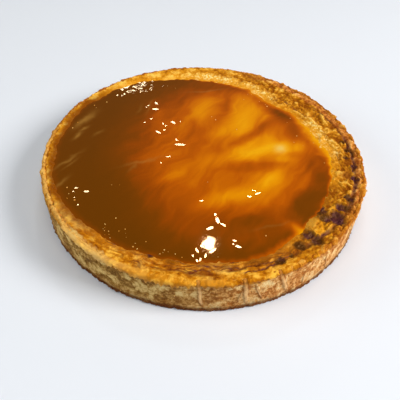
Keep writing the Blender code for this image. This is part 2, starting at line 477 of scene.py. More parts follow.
skin_lap = np.clip(by_direction(SKIN_LAP, AROUND, 0.0008, 9), 0, None)
skin_lap = skin_lap * (by_direction(SKIN_LAP, AROUND) > 0)
for fold_direction in (-90.3, -77.1, -66.4):
    away = (np.linspace(0, 360, AROUND, endpoint=False) - fold_direction + 180) % 360 - 180
    skin_lap = skin_lap * (1 - 0.85 * np.exp(-((away / 0.9) ** 2)))
ring_inset, ring_height = profile_rings(CRUST_PROFILE)
crust_radii = np.repeat((CRUST_RADIUS - ring_inset)[:, None], AROUND, axis=1)
crust_heights = np.repeat(ring_height[:, None], AROUND, axis=1)
lapped = np.repeat(np.clip(skin_lap / 0.0015, 0, 1)[None, :], len(ring_inset), axis=0)
crust = sculpted(
    "crust_baked",
    turned_shape("crust_baked", crust_radii, crust_heights, {"lapped": lapped}),
    pastry(),
    {
        "Seed": 4,
        "Lump height": 0.0006,
        "Grain height": 0.00034,
        "Fold height": 0.0007,
        "Rim lumps": 0.0019,
        "Foot ragged": 0.0020,
    },
    roughen_crust,
)
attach(crust, "root")
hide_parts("crust")

# ---- The filling
# Baked cream cheese. It rose against the crust and sank in the middle, so a margin stays bare round the
# caramel: golden and thready in front, where its skin hangs over the rim, and wide, curdled and pitted,
# with burnt hollows, on the right. It is turned as the crust is, and a geometry tree makes its surface.

FILLING_LOW, FILLING_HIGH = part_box("filling")
POOL_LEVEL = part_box("caramel")[1].z
FILLING_RADIUS = CRUST_RADIUS - CRUST_WALL + 0.0001
MARGIN_TOP = RIM_HEIGHT - 0.0002
MARGIN_LIP = 0.0050
MARGIN_ROWS = 54

# How far the filling hides the crust's rim: (direction in degrees, share). At 0 a crack parts them.
RIM_COVER = (
    (0, 1.0),
    (120, 1.0),
    (150, 0.8),
    (178, 0.5),
    (190, 0.25),
    (236, 0.25),
    (244, 1.0),
    (360, 1.0),
)

# Burnt hollows: (x, y, radius, depth)
BURNT_HOLLOWS = (
    (0.1061, 0.0050, 0.0034, 0.0012),
    (0.1030, -0.0030, 0.0022, 0.0010),
    (0.1066, -0.0122, 0.0030, 0.0012),
    (0.1036, -0.0240, 0.0026, 0.0011),
    (0.0975, -0.0430, 0.0026, 0.0010),
    (0.0910, -0.0510, 0.0040, 0.0014),
    (0.0855, -0.0605, 0.0056, 0.0018),
    (0.0780, -0.0610, 0.0046, 0.0014),
    (0.0765, -0.0545, 0.0038, 0.0008),
    (0.0645, -0.0755, 0.0044, 0.0012),
    (0.0700, -0.0800, 0.0042, 0.0012),
    (0.0600, -0.0835, 0.0036, 0.0010),
    (0.0461, -0.0950, 0.0030, 0.0008),
    (0.0532, -0.0916, 0.0018, 0.0006),
    (0.0188, -0.0965, 0.0024, 0.0005),
    (-0.0293, -0.0950, 0.0022, 0.0004),
    (0.1030, 0.0150, 0.0020, 0.0008),
)

# Cracks in the skin: (from direction, to direction in degrees, distance from the axis at each, width, depth)
SKIN_CRACKS = (
    (-100.0, -78.0, 0.1000, 0.1030, 0.0007, 0.0005),
    (-97.0, -84.0, 0.1050, 0.1045, 0.0006, 0.0003),
    (-84.0, -56.0, 0.1035, 0.1062, 0.0010, 0.0009),
    (-79.0, -60.0, 0.1085, 0.1072, 0.0008, 0.0007),
    (-58.0, -30.0, 0.1045, 0.1085, 0.0021, 0.0016),
    (-34.0, 14.0, 0.1078, 0.1070, 0.0020, 0.0015),
    (10.0, 36.0, 0.1068, 0.1050, 0.0011, 0.0009),
    (-128.0, -116.0, 0.1020, 0.1010, 0.0006, 0.0004),
    (28.0, 47.0, 0.0905, 0.0925, 0.0007, 0.0004),
)


def pool_outline(around):
    """How far the caramel's edge is from the middle, at this many even directions, read off its solid."""
    found = []
    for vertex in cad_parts["caramel"].data.vertices:
        x, y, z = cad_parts["caramel"].matrix_world @ vertex.co
        if POOL_LEVEL - 0.0004 < z < POOL_LEVEL - 0.0001:
            found.append((math.atan2(y, x), math.hypot(x, y)))
    found.sort()
    directions, distances = np.array(found).T
    even = np.linspace(0, 2 * np.pi, around, endpoint=False)
    return np.interp(even, directions, distances, period=2 * np.pi)


def filling_rings():
    """Radii, heights and the geometry tree's numbers, ring by ring from the underside up and inwards."""
    pool = pool_outline(AROUND)
    cover = np.clip(by_direction(RIM_COVER, AROUND, 0.26, 3), 0, 1)
    hang = skin_lap * (1 + by_direction(((0, 0), (360, 0)), AROUND, 0.55, 5))
    lap = np.clip(skin_lap / 0.0015, 0, 1)
    edge = FILLING_RADIUS + (CRUST_RADIUS - 0.0024 - FILLING_RADIUS) * cover
    radii, heights, tops = [np.full(AROUND, FILLING_RADIUS)], [np.full(AROUND, FILLING_LOW.z)], [0.0]
    # From under the lap's edge, up its outside and over the rim: (inset from the crust's outside, drop, lift)
    skirt = ((0.0030, 1.0, -0.0004), (0.0004, 1.0, -0.0002), (-0.0002, 1.0, 0.0), (-0.0005, 0.85, 0.0003))
    skirt += ((-0.0005, 0.55, 0.0004), (-0.0003, 0.28, 0.0004), (0.0002, 0.1, 0.0003), (0.0010, 0.02, 0.0003))
    for i, (inset, drop, lift) in enumerate(skirt):
        tucked = MARGIN_TOP - 0.0060 + 0.0040 * i / len(skirt)
        radii.append(FILLING_RADIUS + (CRUST_RADIUS - inset - FILLING_RADIUS) * lap)
        heights.append(tucked + (MARGIN_TOP - hang * drop + lift - tucked) * lap)
        tops.append(0.0)
    for share in np.linspace(0, 1, MARGIN_ROWS) ** 0.92:
        radii.append(edge + (pool - 0.0040 - edge) * share)
        heights.append(np.full(AROUND, POOL_LEVEL))
        tops.append(1.0)
    radii.append(radii[-1] * 0.6)
    heights.append(np.full(AROUND, POOL_LEVEL - 0.0040))
    tops.append(0.0)
    radii = np.array(radii)
    every = np.ones_like(radii)
    numbers = {
        "top": every * np.array(tops)[:, None],
        "outward": radii - pool,
        "margin": every * (FILLING_RADIUS - pool),
        "inward": edge - radii,
        "cover": every * cover,
        "lap": every * lap,
    }
    return radii, np.array(heights), numbers


def oval(recipe, x, y, middle_x, middle_y, half_length, half_width, degrees):
    """1 in the middle of an oval patch, falling softly to nearly 0 past its edge."""
    turn = math.radians(degrees)
    along = (x - middle_x) * math.cos(turn) + (y - middle_y) * math.sin(turn)
    across = (y - middle_y) * math.cos(turn) - (x - middle_x) * math.sin(turn)
    return (-((along / half_length) ** 2) - (across / half_width) ** 2).exp()


def shore(recipe, x, y, outward):
    """The distance outwards from the caramel's edge, made to wander so that the edge is uneven."""
    flat = recipe.point(x, y, 0)
    outward = outward - oval(recipe, x, y, 0.012, 0.092, 0.040, 0.020, -12) * 0.0028
    outward = outward + recipe.noise(flat, 0.014, 21, 2, 0.5) * 0.0042
    return outward + recipe.noise(flat, 0.0050, 22, 2, 0.5) * 0.0016


def curdle(recipe, shape, seed, curd_height, thread_height, swell_height):
    """The margin's relief: soft curds on the right, threads round the front, cracks and burnt hollows."""
    place, x, y, z, reach, direction = polar(recipe)
    top, cover, lap, inward, margin = recipe.attributes("top", "cover", "lap", "inward", "margin")
    outward = shore(recipe, x, y, recipe.attribute("outward"))

    risen = (1 - (-(outward.at_least(0) / MARGIN_LIP)).exp()) / (1 - (-(margin / MARGIN_LIP)).exp())
    level = POOL_LEVEL + (MARGIN_TOP - POOL_LEVEL) * risen + outward.at_most(0) * 0.16
    seam_depth = 0.0019 + recipe.noise(place, 0.008, seed + 10, 2) * 0.0014
    shoulder = (1 - inward / 0.0018).at_least(0) ** 2 * (1 - cover) * seam_depth
    level = level - shoulder + inward.rise(0.006, 0.0) * lap * 0.0004
    settled = (level - z) * top

    along = direction * (math.pi / 180 * 0.105)
    curled = recipe.point(reach * 1.25, along * 0.80, 0)
    rough_side = direction.band(-66, -40, 66, 104)
    thready = direction.band(-150, -125, -58, -36)
    bare = outward.rise(0.0, 0.0030)
    folded = abs(recipe.noise(curled, 0.0112, seed + 1, 3, 0.60, 0.9))
    curds = folded * 2.4 - 0.55
    nubs = recipe.noise(place, 0.0043, seed + 8, 3, 0.65, 0.4)
    veins = folded.rise(0.12, 0.0) * rough_side
    fine = recipe.noise(place, 0.0016, seed + 3, 2, 0.6)
    swells = recipe.noise(place, 0.012, seed + 4, 2)
    threads_place = recipe.point(reach + recipe.noise(place, 0.010, seed + 6, 1) * 0.005, along * 0.22, 0)
    threads = recipe.noise(threads_place, 0.0024, seed + 5, 3, 0.6)
    lines = recipe.veins(threads_place, 0.0052, seed + 11, 0.13, 2, 0.4)
    lines = lines * direction.rise(-128, -108) * direction.rise(-40, -56)
    lines = lines * (reach + swells * 0.003).rise(0.1105, 0.1065)

    hollows, cracks, sunken = [], [], []
    wander_x = recipe.noise(place, 0.0065, seed + 7, 4, 0.7) * 0.0056
    wander_y = recipe.noise(place, 0.0065, seed + 9, 4, 0.7) * 0.0056
    for middle_x, middle_y, radius, depth in BURNT_HOLLOWS:
        away = ((x - middle_x + wander_x) ** 2 + (y - middle_y - wander_y) ** 2) ** 0.5
        hollows.append(away.rise(radius * 1.45, radius * 0.35))
        sunken.append(hollows[-1] * depth)
    for start, end, reach_a, reach_b, width, depth in SKIN_CRACKS:
        slope = (reach_b - reach_a) / (end - start)
        away = abs(reach - reach_a - (direction - start) * slope + wander_x * 0.6)
        open_part = direction.rise(start, start + 4), direction.rise(end, end - 4)
        cracks.append(away.rise(width, width * 0.25) * open_part[0] * open_part[1])
        sunken.append(cracks[-1] * depth)

    up = swells * swell_height + curds * curd_height * (0.25 + 0.75 * rough_side) - veins * 0.0003
    up = up + nubs * 0.00065 * (0.7 + 0.5 * rough_side) + fine * 0.00040
    up = up + threads * thread_height * thready - lines * 0.0004
    sunk = greatest(sunken) * outward.rise(0.0020, 0.0055)
    lowest = (POOL_LEVEL - level).at_most(0) * 0.8 - outward.rise(0.0040, 0.0080) * 0.004
    up = settled + (up * (0.35 + 0.65 * bare) - sunk).at_least(lowest) * top.at_least(lap * 0.6)
    numbers = {"curd": curds, "nub": nubs, "rough": rough_side, "burnt": greatest(hollows), "vein": veins}
    numbers.update({"thread": threads * thready, "crack": greatest(cracks), "line": lines, "out": outward})
    shape = with_numbers(recipe, shape, **numbers)
    return recipe.add("GeometryNodeSetPosition", None, {0: shape, "Offset": recipe.point(0, 0, up)})


def baked_filling():
    """A golden baked skin, with brown in its threads and burnt black-brown in the hollows. The brown in its
    pits and between its curds is partly painted shade, and its sugary patches carry painted glints.
    """
    material, recipe, shader = make_material("baked_filling", 0.5)
    place = recipe.place()
    x, y, z = recipe.axes(place)
    direction = recipe.bearing(x, y)
    reach = (x * x + y * y) ** 0.5
    curd, nub, rough, burnt, thread = recipe.attributes("curd", "nub", "rough", "burnt", "thread")
    vein, crack, outward, line, inward = recipe.attributes("vein", "crack", "out", "line", "inward")
    cloud = recipe.noise(place, 0.012, 3, 3, 0.6)
    zone = recipe.noise(place, 0.021, 4, 2, 0.5)
    speckle = recipe.noise(place, 0.0016, 5, 3, 0.65)
    mottle = recipe.noise(place, 0.0050, 7, 4, 0.65, 0.5)

    inner = (reach + cloud * 0.006).rise(0.1080, 0.1030)
    value = cloud * 1.0 + mottle * 0.7 + speckle * 0.35 - thread * 0.9 + nub * 0.2
    front = recipe.blend(
        inner,
        recipe.tones(value, (124, 56, 0), (198, 120, 8), (250, 188, 66)),
        recipe.tones(value, (104, 42, 2), (180, 100, 10), (240, 170, 62)),
    )
    front = recipe.blend((zone + cloud * 0.4).rise(0.14, 0.38) * 0.5, front, (244, 196, 96))
    stained = (mottle + zone * 0.6).rise(0.04, 0.36) * outward.rise(0.0090, 0.0030)
    front = recipe.blend(stained * 0.75, front, (124, 54, 26))
    front = recipe.blend(line * (0.80 + mottle * 0.9), front, (106, 42, 16))
    crest = (inward + mottle * 0.0024 + cloud * 0.0016).rise(0.0012, 0.0000)
    creamy = direction.rise(-104, -122)
    crest_colour = recipe.blend(creamy, (236, 160, 40), (238, 198, 116))
    front = recipe.blend(crest * (0.15 + zone * 1.3 + 0.4 * creamy), front, crest_colour)
    hanging = (z + mottle * 0.0050 + cloud * 0.0020).rise(RIM_HEIGHT - 0.0025, RIM_HEIGHT - 0.0060)
    draped = recipe.tones(mottle * 1.0 + speckle * 1.0, (128, 74, 10), (194, 124, 28), (232, 176, 74))
    front = recipe.blend(hanging * 0.85, front, draped)
    value = mottle * 1.0 + cloud * 0.9 + speckle * 0.3 + nub * 0.3
    back = recipe.tones(value, (160, 88, 0), (222, 146, 22), (255, 204, 88))
    # The curds' and nubs' height lightens their tops and darkens the low places between them, in the curdled
    # and the browned tones: partly browner crumb, partly painted light and shade.
    value = curd * 0.70 + nub * 0.60 + speckle * 0.60 + mottle * 0.75 + 0.08
    curdled = recipe.tones(value, (140, 70, 0), (208, 134, 20), (252, 198, 84))
    curdled = recipe.blend((zone + cloud * 0.5).rise(0.05, 0.45) * 0.55, curdled, (150, 88, 22))
    gilded = direction.band(-74, -62, -34, -22) * mottle.rise(-0.15, 0.15)
    curdled = recipe.blend(gilded * 0.55, curdled, (242, 164, 22))
    # Partly painted shade: dark brown along the creases between the curds, beside some browner crumb.
    curdled = recipe.blend(vein * (0.50 - 0.25 * y.rise(-0.01, 0.05)), curdled, (116, 54, 0))
    outer = (reach + cloud * 0.003).rise(0.1055, 0.1080) * direction.rise(-45, -20) * direction.rise(80, 50)
    # The browned outer band takes the same painted light and shade from the curds' height.
    browned_and_shaded = recipe.tones(value, (156, 78, 24), (216, 138, 60), (248, 192, 112))
    curdled = recipe.blend(outer * 0.9, curdled, browned_and_shaded)
    syrupy_back = direction.band(46, 58, 90, 104)
    syrupy = syrupy_back.at_least(direction.band(-4, 6, 22, 34))
    sugary = syrupy * (outward + mottle * 0.004).rise(0.0110, 0.0060)
    candied = recipe.tones(mottle * 0.9 + speckle * 0.4, (196, 118, 12), (240, 176, 56), (255, 226, 134))
    facing = direction.band(-160, -135, -58, -36)
    colour = recipe.blend(facing, back, front)
    colour = recipe.blend(rough, colour, curdled)
    colour = recipe.blend(sugary * 0.85, colour, candied)
    # Painted highlights: small pale glints painted into the sugary patches' colour.
    painted_glints = sugary * (speckle + mottle * 0.8).rise(0.10, 0.24)
    colour = recipe.blend(painted_glints * 0.9, colour, (255, 238, 160))

    left = direction.rise(126, 150).at_least(direction.rise(-112, -140))
    dark_corner = direction.band(-56, -48, -24, -16)
    glaze = recipe.blend(left.at_least(facing * 0.4).at_least(dark_corner), (228, 148, 20), (132, 66, 0))
    film = (outward + cloud * 0.002).rise(0.0060, 0.0010)
    colour = recipe.blend(film * (0.55 - 0.20 * facing + 0.40 * left), colour, glaze)
    crack_colour = recipe.blend(mottle.rise(-0.2, 0.2), (96, 44, 10), (92, 42, 52))
    colour = recipe.blend(crack * (0.75 + mottle * 0.8), colour, crack_colour)
    scorch = (burnt + mottle * 0.55 + speckle * 0.35) * burnt.rise(0.0, 0.12)
    colour = recipe.blend(scorch.rise(0.02, 0.36) * 0.80, colour, (116, 64, 8))
    char = recipe.blend((zone + mottle * 0.3).rise(-0.12, 0.18), (72, 38, 8), (72, 28, 50))
    colour = recipe.blend(scorch.rise(0.32, 0.85) * 0.90, colour, char)
    bump = recipe.fine_bump(place, 0.5, 0.0005, 0.6)
    wet = (film * 0.6).at_least(burnt * 0.8).at_least(mottle.rise(0.15, 0.40) * 0.5).at_least(sugary * 0.5)
    far_side = direction.band(30, 45, 150, 165)
    feed(shader, Base_Color=colour, Normal=bump, Roughness=0.65 - 0.5 * wet * (1 - far_side))
    feed(shader, Specular_IOR_Level=0.3, Specular_Tint=(255, 196, 96))
    return material


filling_radii, filling_heights, filling_numbers = filling_rings()
filling = sculpted(
    "filling_baked",
    turned_shape("filling_baked", filling_radii, filling_heights, filling_numbers),
    baked_filling(),
    {"Seed": 7, "Curd height": 0.0018, "Thread height": 0.0005, "Swell height": 0.0005},
    curdle,
)
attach(filling, "root")
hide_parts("filling")

# ---- The caramel
# Soft, clear caramel, poured on and spread by tipping the cake. It looks golden where it is shallow, over
# the swirled rises of the filling on the right, and dark brown where it is deep, on the left and in front.
# Its top is a fine sheet of faces that carries the depth below it, with ripples and puckers.

POOL_ROWS = 300
AROUND_POOL = 720
POOL_OVERLAP = 0.0036

# Rises in the bed: (x, y, half length, half width, direction in degrees, how much of the depth they take up)
SHOALS = (
    (0.001, 0.057, 0.019, 0.0090, 78, 0.32),
    (-0.003, 0.046, 0.012, 0.0060, 100, 0.12),
    (0.029, 0.044, 0.026, 0.0120, 72, 0.55),
    (0.029, 0.031, 0.011, 0.0070, 60, 0.30),
    (0.046, 0.046, 0.012, 0.0060, 115, 0.25),
    (0.013, 0.024, 0.010, 0.0055, 25, 0.25),
    (0.036, 0.001, 0.024, 0.0085, 20, 0.62),
    (0.034, 0.013, 0.013, 0.0060, 50, 0.40),
    (0.054, 0.008, 0.010, 0.0068, 35, 0.85),
    (0.049, 0.018, 0.009, 0.0045, 60, 0.35),
    (0.058, -0.006, 0.010, 0.0050, 10, 0.30),
    (0.070, 0.010, 0.008, 0.0055, 60, 0.62),
    (0.045, -0.029, 0.014, 0.0075, 48, 0.66),
    (0.026, -0.043, 0.015, 0.0070, 20, 0.45),
    (0.006, -0.050, 0.014, 0.0070, 10, 0.25),
    (0.000, -0.010, 0.012, 0.0060, 55, 0.22),
    (-0.018, -0.025, 0.013, 0.0070, 40, 0.25),
    (-0.016, 0.030, 0.016, 0.0050, 65, 0.14),
    (-0.030, -0.006, 0.016, 0.0050, 20, 0.10),
    (0.073, 0.036, 0.012, 0.0060, 100, 0.30),
    (0.060, -0.073, 0.010, 0.0040, -42, 0.60),
    (0.076, -0.018, 0.012, 0.0030, 60, 0.25),
)

# Deeper places between them, given the same way
DEEPS = (
    (0.063, 0.047, 0.020, 0.0085, -46, 0.76),
    (0.033, 0.019, 0.020, 0.0040, 42, 0.36),
    (0.048, 0.033, 0.014, 0.0048, 42, 0.24),
    (0.042, -0.012, 0.019, 0.0030, 8, 0.22),
    (0.004, -0.018, 0.016, 0.0018, 72, 0.16),
    (0.069, 0.025, 0.012, 0.0055, 100, 0.32),
    (0.034, -0.017, 0.018, 0.0036, 10, 0.22),
    (-0.011, 0.002, 0.030, 0.0110, 90, 0.14),
    (0.080, -0.022, 0.022, 0.0070, -76, 0.45),
    (0.073, -0.045, 0.014, 0.0090, 60, 0.60),
    (0.069, -0.058, 0.013, 0.0080, -48, 0.70),
    (0.034, -0.066, 0.028, 0.0080, 14, 0.30),
    (0.010, 0.083, 0.030, 0.0050, -5, 0.30),
    (0.015, 0.052, 0.020, 0.0036, 77, 0.24),
)

# How the caramel thins at its edge: (direction in degrees, how deep it looks there, how far in that reaches)
POOL_EDGE = (
    (0, 0.22, 0.0100),
    (12, 0.16, 0.0110),
    (22, 0.26, 0.0090),
    (40, 0.46, 0.0060),
    (60, 0.48, 0.0050),
    (75, 0.50, 0.0035),
    (95, 0.60, 0.0015),
    (130, 0.78, 0.0018),
    (170, 0.84, 0.0035),
    (195, 0.86, 0.0045),
    (215, 0.82, 0.0055),
    (240, 0.80, 0.0050),
    (262, 0.76, 0.0040),
    (285, 0.68, 0.0040),
    (300, 0.55, 0.0050),
    (312, 0.62, 0.0030),
    (335, 0.72, 0.0020),
    (350, 0.22, 0.0035),
    (360, 0.10, 0.0080),
)

# Painted reflections: paler streaks in the dark caramel's colour that stand in for reflected light, one of
# them a painted highlight, given the same way
PAINTED_SHEEN_STREAKS = (
    (-0.0925, 0.0310, 0.0100, 0.0028, 64, 0.60),
    (-0.0940, 0.0125, 0.0050, 0.0017, 60, 0.55),
    (-0.0905, 0.0205, 0.0038, 0.0011, 48, 0.50),
    (-0.0785, 0.0170, 0.0045, 0.0014, 55, 0.22),
    (-0.0960, -0.0160, 0.0110, 0.0012, 54, 0.40),
    (-0.0930, -0.0190, 0.0070, 0.0010, 60, 0.25),
    (-0.0950, -0.0390, 0.0070, 0.0014, 62, 0.35),
    (-0.0430, -0.0140, 0.0120, 0.0013, 24, 0.30),
    (-0.0480, -0.0190, 0.0060, 0.0010, 60, 0.22),
    (-0.0450, 0.0520, 0.0100, 0.0010, 78, 0.22),
    (-0.0530, 0.0480, 0.0060, 0.0010, 70, 0.18),
    (0.0440, -0.0690, 0.0120, 0.0009, 18, 0.16),
    (0.0000, 0.0780, 0.0140, 0.0010, 12, 0.25),
    (0.0545, 0.0060, 0.0042, 0.0030, 60, 0.60),
)

# What the small bright marks mirror: the camera's place, and those of the two small lamps
EYE = (-0.0015, -0.2505, 0.2393)
FAR_WINDOW = (-0.250, 1.080, 0.635)
CEILING_SPOT = (0.034, 0.650, 0.970)

SPOT_REACH = 0.0985  # no flat spot lies further from the axis
SPOT_TRIES = 200  # for each group

# Groups of small flat spots in the skin: (x, y, how far they spread, how many, longest half length, lamp)
GLINT_GROUPS = (
    (-0.038, 0.028, 0.010, 6, 0.0028, FAR_WINDOW),
    (-0.022, 0.033, 0.003, 2, 0.0025, FAR_WINDOW),
    (-0.020, 0.008, 0.004, 2, 0.0045, FAR_WINDOW),
    (-0.042, 0.055, 0.007, 4, 0.0030, FAR_WINDOW),
    (-0.028, -0.010, 0.006, 2, 0.0018, FAR_WINDOW),
    (-0.050, 0.085, 0.012, 3, 0.0030, FAR_WINDOW),
    (-0.100, -0.010, 0.001, 1, 0.0016, FAR_WINDOW),
    (-0.080, -0.050, 0.008, 5, 0.0020, FAR_WINDOW),
    (0.000, -0.050, 0.001, 1, 0.0012, CEILING_SPOT),
    (0.033, -0.042, 0.004, 3, 0.0025, CEILING_SPOT),
    (0.010, -0.068, 0.007, 4, 0.0032, CEILING_SPOT),
    (0.022, -0.085, 0.004, 3, 0.0024, CEILING_SPOT),
    (0.005, -0.096, 0.010, 7, 0.0024, CEILING_SPOT),
)


def scattered_spots(seed):
    """Each group's spots, strewn clear of each other: (x, y, half length, half width, degrees, lamp)."""
    chance = np.random.default_rng(seed)
    spots = []
    for group_x, group_y, spread, number, longest, lamp in GLINT_GROUPS:
        placed = 0
        for _ in range(SPOT_TRIES):
            turn, away = chance.uniform(0, 2 * math.pi), spread * chance.uniform(0, 1) ** 0.5
            x, y = group_x + away * math.cos(turn), group_y + away * math.sin(turn)
            half_length = longest * (1.0 if placed == 0 else chance.uniform(0.25, 0.8))
            half_width = 0.0004 + half_length * chance.uniform(0.08, 0.25)
            clear = all(math.dist((x, y), spot[:2]) > 0.8 * (half_length + spot[2]) for spot in spots)
            if clear and math.hypot(x, y) < SPOT_REACH and placed < number:
                spots.append((x, y, half_length, half_width, chance.uniform(-80, 80), lamp))
                placed += 1
    return spots


def pool_sheet():
    """The caramel's closed mesh: a square net pressed into the outline, a short side and an underside."""
    count = POOL_ROWS
    across = np.linspace(-1, 1, count + 1)
    a, b = np.meshgrid(across, across)
    wide = abs(a) > abs(b)
    share = np.maximum(abs(a), abs(b))
    safe_a, safe_b = np.where(a == 0, 1, a), np.where(b == 0, 1, b)
    angle = np.where(wide, np.pi / 4 * b / safe_a, np.pi / 2 - np.pi / 4 * a / safe_b)
    angle = np.where(np.where(wide, a, b) < 0, angle + np.pi, angle)
    outline = pool_outline(AROUND_POOL) + POOL_OVERLAP
    even = np.linspace(0, 2 * np.pi, AROUND_POOL, endpoint=False)
    edge = np.interp(angle % (2 * np.pi), even, outline, period=2 * np.pi)
    x, y = share * edge * np.cos(angle), share * edge * np.sin(angle)
    top = np.stack([x, y, np.full_like(x, POOL_LEVEL)], axis=2).reshape(-1, 3)
    outward = ((share - 1) * edge + POOL_OVERLAP).reshape(-1)

    here = np.arange((count + 1) ** 2).reshape(count + 1, count + 1)
    squares = np.stack([here[:-1, :-1], here[:-1, 1:], here[1:, 1:], here[1:, :-1]], axis=2)
    faces = squares.reshape(-1, 4).tolist()
    loop = [*here[0, :-1], *here[:-1, -1], *here[-1, :0:-1], *here[:0:-1, 0]]
    lower = len(top) + np.arange(len(loop))
    side = top[loop] - (0, 0, 0.0020)
    middle = (0, 0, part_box("caramel")[0].z)
    for i in range(len(loop)):
        j = (i + 1) % len(loop)
        faces.append([loop[j], loop[i], lower[i], lower[j]])
        faces.append([len(top) + len(loop), lower[j], lower[i]])
    mesh = bpy.data.meshes.new("caramel_pool")
    faces = [[int(i) for i in face] for face in faces]
    mesh.from_pydata(np.vstack([top, side, [middle]]).tolist(), [], faces)
    distances = np.concatenate([outward, np.full(len(loop) + 1, 1.0)])
    mesh.attributes.new("outward", "FLOAT", "POINT").data.foreach_set("value", distances)
    directions, edge_depths, edge_fades = np.array(POOL_EDGE).T
    bearing = np.degrees(np.append(angle.reshape(-1), [0.0] * (len(loop) + 1))) % 360
    for name, values in (("edge_depth", edge_depths), ("edge_fade", edge_fades)):
        column = np.interp(bearing, directions, values)
        mesh.attributes.new(name, "FLOAT", "POINT").data.foreach_set("value", column)
    return mesh


def settle_caramel(recipe, shape, seed, ripple_height, pucker_height):
    """Works out how deep the caramel looks at each point and where its painted reflections lie, and moves its
    skin into ripples and puckers.
    """
    place, x, y, *_ = polar(recipe)
    raw_outward = recipe.attribute("outward")
    outward = shore(recipe, x, y, raw_outward)

    drift_x = recipe.noise(place, 0.028, seed + 1, 2) * 0.012
    drift_y = recipe.noise(place, 0.028, seed + 2, 2) * 0.012
    from_middle = (((x + drift_x - 0.022) / 0.064) ** 2 + ((y + drift_y - 0.006) / 0.074) ** 2) ** 0.5
    depth = 0.52 + 0.48 * from_middle.rise(0.62, 1.62)
    soft_x, soft_y = x + drift_x * 0.45, y + drift_y * 0.45
    for shoal in SHOALS:
        depth = depth * (1 - shoal[5] * oval(recipe, soft_x, soft_y, *shoal[:5]))
    for deep in DEEPS:
        depth = depth + (1 - depth) * deep[5] * oval(recipe, soft_x, soft_y, *deep[:5])
    turn = math.radians(58)
    flow_x, flow_y = x + drift_x * 1.2, y + drift_y * 1.2
    along = flow_x * math.cos(turn) + flow_y * math.sin(turn)
    across = flow_y * math.cos(turn) - flow_x * math.sin(turn)
    streaks = recipe.noise(recipe.point(along * 0.30, across, 0), 0.0085, seed + 3, 3, 0.5)
    fine_streaks = recipe.noise(recipe.point(along * 0.20, across, 0), 0.0036, seed + 8, 2, 0.5)
    depth = depth + (streaks * 0.19 + fine_streaks * 0.06) * from_middle.rise(1.7, 0.9)
    # Painted reflections: pale streaks to be painted into the caramel's colour.
    painted_sheens = []
    curl = recipe.noise(place, 0.0075, seed + 4, 2, 0.6) * 0.0020
    for sheen_streak in PAINTED_SHEEN_STREAKS:
        painted_sheens.append(oval(recipe, x + drift_x * 0.3 + curl, y + drift_y * 0.3 - curl, *sheen_streak[:5]) * sheen_streak[5])

    edge_depth = recipe.attribute("edge_depth")
    inside = (-outward / recipe.attribute("edge_fade")).rise(-0.15, 1)
    depth = depth * (edge_depth + (1 - edge_depth) * inside)

    calm = 1 - 0.9 * oval(recipe, x, y, 0.005, -0.084, 0.018, 0.018, 0)
    ripples = recipe.noise(place, 0.022, seed + 5, 1) * ripple_height * calm
    dense = oval(recipe, x, y, -0.067, 0.072, 0.013, 0.0050, 38)
    loose = oval(recipe, x, y, -0.045, 0.082, 0.022, 0.0075, 20)
    puckers = recipe.noise(place, 0.0032, seed + 6, 0) * pucker_height * (dense * 0.60).at_least(loose * 0.80)
    uneven = oval(recipe, x, y, 0.005, -0.084, 0.016, 0.016, 0)
    puckers = puckers + recipe.noise(place, 0.0060, seed + 7, 1) * 0.00002 * uneven
    up = (ripples + puckers) * raw_outward.rise(0.9, 0.1)
    shape = with_numbers(recipe, shape, depth=depth, smear=greatest(painted_sheens))
    return recipe.add("GeometryNodeSetPosition", None, {0: shape, "Offset": recipe.point(0, 0, up)})


def flat_spots(recipe, x, y):
    """The skin's height over its small flat spots. Each leans halfway between its lamp and the camera, and is
    a little hollow, so that all of it catches the lamp. The spots pass one vector along, so that Cycles works
    them out one after another: all at once, they overflow its stack and the material turns black."""
    height = 0.0
    for spot_x, spot_y, half_length, half_width, degrees, lamp in scattered_spots(5):
        x, y, height = recipe.axes(recipe.add("ShaderNodeCombineXYZ", None, {"X": x, "Y": y, "Z": height}))
        middle = Vector((spot_x, spot_y, POOL_LEVEL))
        to_lamp, to_eye = Vector(lamp) - middle, Vector(EYE) - middle
        halfway = to_lamp.normalized() + to_eye.normalized()
        turned = Matrix.Rotation(math.radians(-degrees), 3, "Z")
        lean, start = turned @ (-halfway / halfway.z), turned @ middle
        hollow = (1 / to_lamp.length + 1 / to_eye.length) / 4 * half_length**2
        along_x, along_y = turned[0][0] / half_length, turned[0][1] / half_length
        across_x, across_y = turned[1][0] / half_width, turned[1][1] / half_width
        along = x.times_plus(along_x, y.times_plus(along_y, -start.x / half_length))
        across = x.times_plus(across_x, y.times_plus(across_y, -start.y / half_width))
        inside = across.times_plus(across, along * along).rise(1.8, 0.7)
        lift = along * along.times_plus(hollow, lean.x * half_length)
        height = across.times_plus(lean.y * half_width, lift).times_plus(inside, height)
    return height


